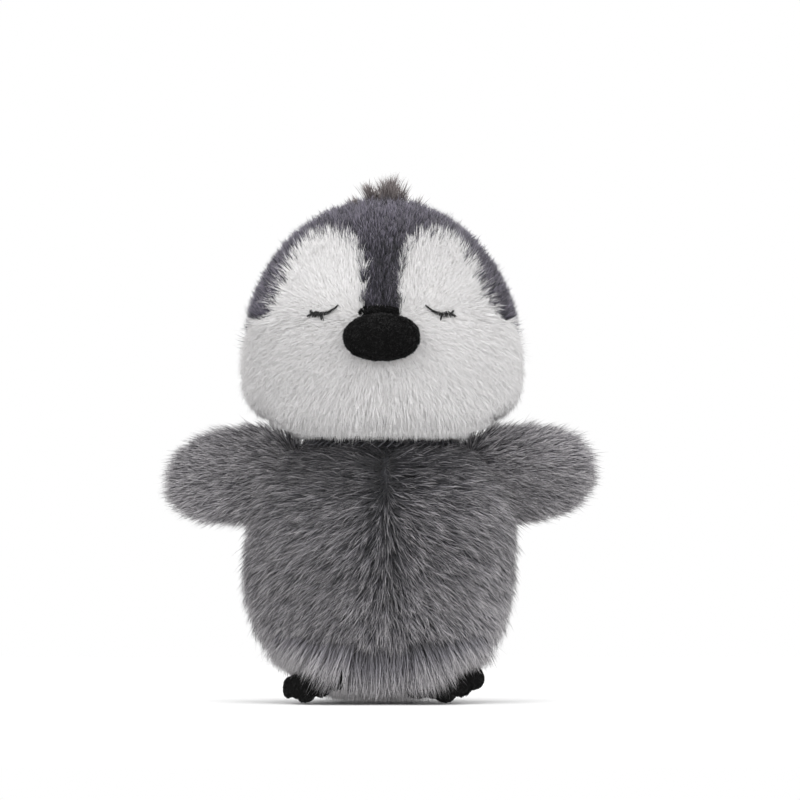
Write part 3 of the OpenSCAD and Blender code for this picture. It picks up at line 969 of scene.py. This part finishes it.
def build_nose():
    centre = np.array([NOSE[0], NOSE[1] + NOSE_HALF[1] - 1 * MM, NOSE[2]])
    half = np.array([NOSE_HALF[0] - 0.6 * MM, 2 * NOSE_HALF[1] - 1.6 * MM, NOSE_HALF[2] - 0.6 * MM])

    def relief(p):
        q = np.hypot((p[:, 0] - centre[0]) / half[0], (p[:, 2] - centre[2]) / half[2])
        return -0.5 * MM * hill(q - 0.9, 0.03) * (p[:, 1] < centre[1])

    form = Form(pillow(centre, half, 0.9, 0.75, 0.35), relief)
    skin = cloth("nose_velour", form, 96, 48)
    finish(skin, BLACK_VELOUR, "black_pile", "nose_cover", "nose_stuffing")
    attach(skin, "head")

    def shade(p):
        # Rows of the velour's loops, and a painted highlight that makes the upper half lighter and its
        # rows brighter
        rows = np.sin(2 * math.pi * (p[:, 2] + p[:, 0] ** 2 / (32 * MM)) / NOSE_ROW)
        high = ease(p[:, 2], centre[2] - 4 * MM, centre[2] + 8 * MM)
        return 0.26 * high + 0.32 * (0.25 + high) * rows

    fur = grow("nose_pile", form, pile(501, 1.7 * MM, shade), NOSE_HAIRS, 500, everywhere)
    finish(fur, BLACK_PILE, "black_pile", "nose_cover")
    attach(fur, "head")

    place, facing = face_surface(np.array([0.0]), np.array([BRIDGE[2]]))
    middle_of_strip = place[0] + facing[0] * 1.6 * MM - np.array([1.2, 0, 2.4]) * MM
    strip = Form(pillow(middle_of_strip, BRIDGE_HALF, 0.7, 0.9, 1.0), lambda p: np.zeros(len(p)))
    bridge = cloth("bridge_velour", strip, 64, 24)
    finish(bridge, BLACK_VELOUR, "black_thread", "nose_bridge")
    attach(bridge, "head")
    short_pile = pile(503, 1.2 * MM, lambda p: np.full(len(p), 0.1))
    fur = grow("bridge_pile", strip, short_pile, BRIDGE_HAIRS, 502, everywhere)
    finish(fur, BLACK_PILE, "black_thread", "nose_bridge")
    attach(fur, "head")


# ---------------------------------------------------------------- wings

WING_ROOT_X, WING_WIDE_X = 34 * MM, 62 * MM
WING_HALF = (15 * MM, 22.8 * MM)
WING_Z = WING_SEAM[2] + 5.7 * MM
WING_FUR = 12 * MM
# How far short of the CAD wing's tip each wing's outline ends, for its hairs to reach it
WING_PROUD = {1: 7 * MM, -1: 5.3 * MM}
# How far each wing's tip stands above or below its middle
WING_TIP_RISE = {1: 2 * MM, -1: -3.5 * MM}
# The fur starts here, because nearer the middle it would be inside the torso
WING_FUR_X = 39 * MM
WING_HAIRS = 9100


def wing_form(side):
    tip_x = WING_TIP - WING_PROUD[side]

    def outline(u, v):
        s = np.sin((v - 0.5) * math.pi)
        reach = np.where(s < 0, WING_WIDE_X - WING_ROOT_X, tip_x - WING_WIDE_X)
        n = np.where(s < 0, 3.0, 2.5)
        r = np.maximum(1 - np.abs(s) ** n, 0) ** (1 / n)
        turn = u * 2 * math.pi * side
        x = WING_WIDE_X + reach * s
        z = WING_Z + WING_HALF[1] * r * np.sin(turn) + WING_TIP_RISE[side] * np.maximum(s, 0)
        return np.stack([side * x, WING_HALF[0] * r * np.cos(turn), z], axis=1)

    return Form(outline, lambda p: np.full(len(p), -0.52 * WING_FUR))


def wing_flow(side):
    def flow(p, n):
        height = (p[:, 2] - WING_Z) / WING_HALF[1]
        return vectors(side, 0, -0.12 + 0.25 * height, p)

    return flow


def wing_lift(p, n):
    tip = np.abs(n[:, 0])
    return 1.0 - 0.1 * tip, 0.28 + 0.5 * tip**2


def wing_shade(p):
    out = ease(np.abs(p[:, 0]), 55 * MM, 95 * MM)
    edge = ease(np.abs(p[:, 2] - WING_Z), 8 * MM, 20 * MM)
    return 0.42 + 0.18 * out + 0.12 * edge


def build_wing(side, word):
    form = wing_form(side)
    skin = cloth(f"wing_{word}_backing", form, 72, 60)
    finish(skin, GREY_BACKING, "body_fur", f"wing_{word}_front", f"wing_{word}_back",
           f"wing_{word}_stuffing")
    coat = Coat(wing_flow(side), lambda p: np.full(len(p), WING_FUR), wing_lift, wing_shade)
    pieces = [skin]
    for part, way in (("front", -1), ("back", 1)):
        fur = grow(f"wing_{word}_fur_{part}", form, coat, WING_HAIRS, 600 + side * 10 + way,
                   lambda p: ((p[:, 1] * way > 0) & (np.abs(p[:, 0]) > WING_FUR_X)).astype(float))
        pieces.append(finish(fur, BODY_FUR, "body_fur", f"wing_{word}_{part}"))
    for piece in pieces:
        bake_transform(piece)


# ---------------------------------------------------------------- feet

# Toes and pad of a foot that hangs from its seam, each a round lobe: its place across (the outer
# side is above zero), its place in height from the seam (below it, so under zero), and its radius
LOBES = np.array([
    [16.4, -9.0, 6.2], [0.0, -14.4, 6.6], [-12.6, -13.0, 5.4],
    [0.0, -11.5, 8.0], [7.2, -11.8, 6.2], [-6.5, -12.6, 6.0],
]) * MM
FOOT_CENTRE = np.array([0.5, -11.0]) * MM
FOOT_LEAN = math.radians(8)
FOOT_HALF_T = 3.4 * MM
# How far back the inner toe curls, under the belly
FOOT_CURL = 5 * MM
# How far the feet stand towards -X of the CAD's, as in the photograph
FOOT_SHIFT = 2 * BODY_LEAN
FOOT_HAIRS = 7000


def foot_form(side):
    splay = math.atan2(-FOOT_AXIS[1], -FOOT_AXIS[0])
    turn_out = mathutils.Matrix.Rotation(side * splay, 3, "Z")
    lean = mathutils.Matrix.Rotation(-FOOT_LEAN, 3, "X")
    place = np.array(turn_out @ lean)

    def outline(u, v):
        turn = u * 2 * math.pi
        way = np.stack([np.cos(turn), np.sin(turn)], axis=1)
        edge = np.zeros(len(u))
        for across, up, radius in LOBES:
            offset = np.array([across, up]) - FOOT_CENTRE
            along = way @ offset
            reach = radius**2 - (offset @ offset - along**2)
            edge = np.maximum(edge, along + np.sqrt(np.maximum(reach, 0)) * (reach > 0))
        angle = (v - 0.5) * math.pi
        q = np.cos(angle)
        flat = FOOT_CENTRE + way * (edge * q)[:, None]
        height = np.zeros(len(u))
        for across, up, radius in LOBES:
            near = np.hypot(flat[:, 0] - across, flat[:, 1] - up) / radius
            height = height + np.maximum(1 - near**2, 0) ** 1.5
        height = FOOT_HALF_T * (1 - np.exp(-2.2 * np.sqrt(height)))
        y = -np.sign(angle) * (height + 0.25 * MM * np.abs(np.sin(angle)))
        y = y + FOOT_CURL * np.clip(-flat[:, 0] / (13 * MM), 0, 1.5) ** 1.5
        local = np.stack([flat[:, 0], y, flat[:, 1]], axis=1)
        return local @ place.T + FOOT_SEAM * [side, 1, 1] - [FOOT_SHIFT, 0, 0]

    return Form(outline, lambda p: np.full(len(p), -0.35 * MM))


def build_foot(side, word):
    form = foot_form(side)
    skin = cloth(f"foot_{word}_velour", form, 128, 40)
    finish(skin, BLACK_VELOUR, "black_pile", f"foot_{word}_top", f"foot_{word}_sole",
           f"foot_{word}_stuffing")
    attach(skin, f"foot_{word}")
    coat = pile(700 + side, 1.0 * MM, lambda p: np.full(len(p), 0.3))
    fur = grow(f"foot_{word}_pile", form, coat, FOOT_HAIRS, 702 + side, everywhere)
    finish(fur, BLACK_PILE, "black_pile", f"foot_{word}_top")
    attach(fur, f"foot_{word}")


# ---------------------------------------------------------------- seams


def build_neck_seam():
    """The ring of slanting stitches that joins the head to the torso."""
    low, high = box("neck_seam")
    turns = np.arange(56) / 56 * 2 * math.pi
    share = np.linspace(-1, 1, 6)
    turn = turns[:, None] + share[None, :] * 0.05
    z = (low[2] + high[2]) / 2 + share * 1.6 * MM
    r = np.sqrt(COLLAR_R**2 - (z - NECK[2]) ** 2) - 2.2 * MM + 0.6 * MM * np.cos(share * math.pi / 2)
    path = np.stack([r * np.cos(turn), DEPTH * r * np.sin(turn), z + 0 * turn], axis=2)
    seam = tubes("neck_seam_stitches", path, np.full(len(turns), 0.4 * MM))
    finish(seam, GREY_THREAD, "grey_thread", "neck_seam")
    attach(seam, "neck")


def build_closing_stitches():
    """The ladder of slip stitches down the middle of the back, at the foot of its fur."""
    low, high = box("closing_stitches")
    heights = np.linspace(low[2], high[2], 10)
    share = np.linspace(-1, 1, 8)
    v = np.interp(heights, [0.0, COLLAR_Z], [0.0, SHOULDER_V])
    for _ in range(40):
        v = v + (heights - TORSO.point(np.full(len(v), 0.25), v)[:, 2]) * 3.0
    p, normal, per_u, _ = TORSO.frame(np.full(len(v), 0.25), v)
    arch = np.cos(share * math.pi / 2)
    path = p[:, None, :] + unit(normal)[:, None, :] * (0.5 * MM * arch)[None, :, None]
    path = path + np.array([1.0, 0, 0]) * (share * 2 * MM)[None, :, None]
    path[:, :, 2] += share * 0.5 * MM
    thread = tubes("closing_seam_stitches", path, np.full(len(v), 0.35 * MM))
    finish(thread, GREY_THREAD, "grey_thread", "closing_stitches")
    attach(thread, "torso")


build_torso()
build_head()
build_tuft()
build_nose()
for side, word in ((1, "left"), (-1, "right")):
    build_eye(side, word)
    build_wing(side, word)
    build_foot(side, word)
build_neck_seam()
build_closing_stitches()

for node in frame["nodes"]:
    if node.endswith("_stuffing"):
        held = bpy.data.objects[node]
        held.data.materials.clear()
        held.data.materials.append(STUFFING)

# ---------------------------------------------------------------- studio

VIEW_DISTANCE = 5.0
SENSOR_MM = 36
# What the picture spans at the toy, and the place (across and in height) at its middle
FRAME_WIDTH = 0.3816
FRAME_CENTRE = (8.6 * MM, 144 * MM)

camera = bpy.data.objects.new("camera", bpy.data.cameras.new("camera"))
camera.data.sensor_width = SENSOR_MM
camera.data.lens = SENSOR_MM * VIEW_DISTANCE / FRAME_WIDTH
camera.location = (FRAME_CENTRE[0], -VIEW_DISTANCE, FRAME_CENTRE[1])
camera.rotation_euler = (math.radians(90), 0, 0)
camera.data.clip_end = 50
bpy.context.scene.collection.objects.link(camera)
bpy.context.scene.camera = camera


def area_light(name, place, size, power):
    lamp = bpy.data.lights.new(name, "AREA")
    lamp.size = size
    lamp.energy = power
    stand = bpy.data.objects.new(name, lamp)
    stand.location = place
    away = mathutils.Vector(place) - mathutils.Vector((0, 0, 0.12))
    stand.rotation_euler = away.to_track_quat("Z", "Y").to_euler()
    bpy.context.scene.collection.objects.link(stand)


area_light("key", (-0.8, -1.35, 0.95), 0.9, 9)
area_light("fill", (0.8, -1.4, 0.85), 0.9, 9)
area_light("top", (0.0, 0.1, 1.6), 1.0, 5)
area_light("low", (0.0, -1.5, 0.12), 0.8, 3)

world = bpy.data.worlds.new("studio")
world.use_nodes = True
world.node_tree.nodes["Background"].inputs["Color"].default_value = (1, 1, 1, 1)
world.node_tree.nodes["Background"].inputs["Strength"].default_value = 1.0
bpy.context.scene.world = world
bpy.context.scene.view_settings.view_transform = "Standard"

FLOOR_R = 1.2
FLOOR_SIDES = 96


def build_floor():
    """A pale disc that fades out into the white of the studio."""
    rim = [(FLOOR_R * math.cos(2 * math.pi * i / FLOOR_SIDES),
            FLOOR_R * math.sin(2 * math.pi * i / FLOOR_SIDES), 0) for i in range(FLOOR_SIDES)]
    mesh = bpy.data.meshes.new("floor")
    mesh.from_pydata(rim, [], [tuple(range(FLOOR_SIDES))])
    mat, tree, shader = material("floor_paint", 0.9)
    shader.inputs["Base Color"].default_value = (0.95, 0.95, 0.95, 1)
    place = tree.nodes.new("ShaderNodeTexCoord")
    length = tree.nodes.new("ShaderNodeVectorMath")
    length.operation = "LENGTH"
    tree.links.new(place.outputs["Object"], length.inputs[0])
    fade = ramp(tree, length.outputs["Value"], [(0.25, (1, 1, 1)), (0.9, (0, 0, 0))])
    tree.links.new(fade, shader.inputs["Alpha"])
    mesh.materials.append(mat)
    new_piece("floor", mesh)


build_floor()
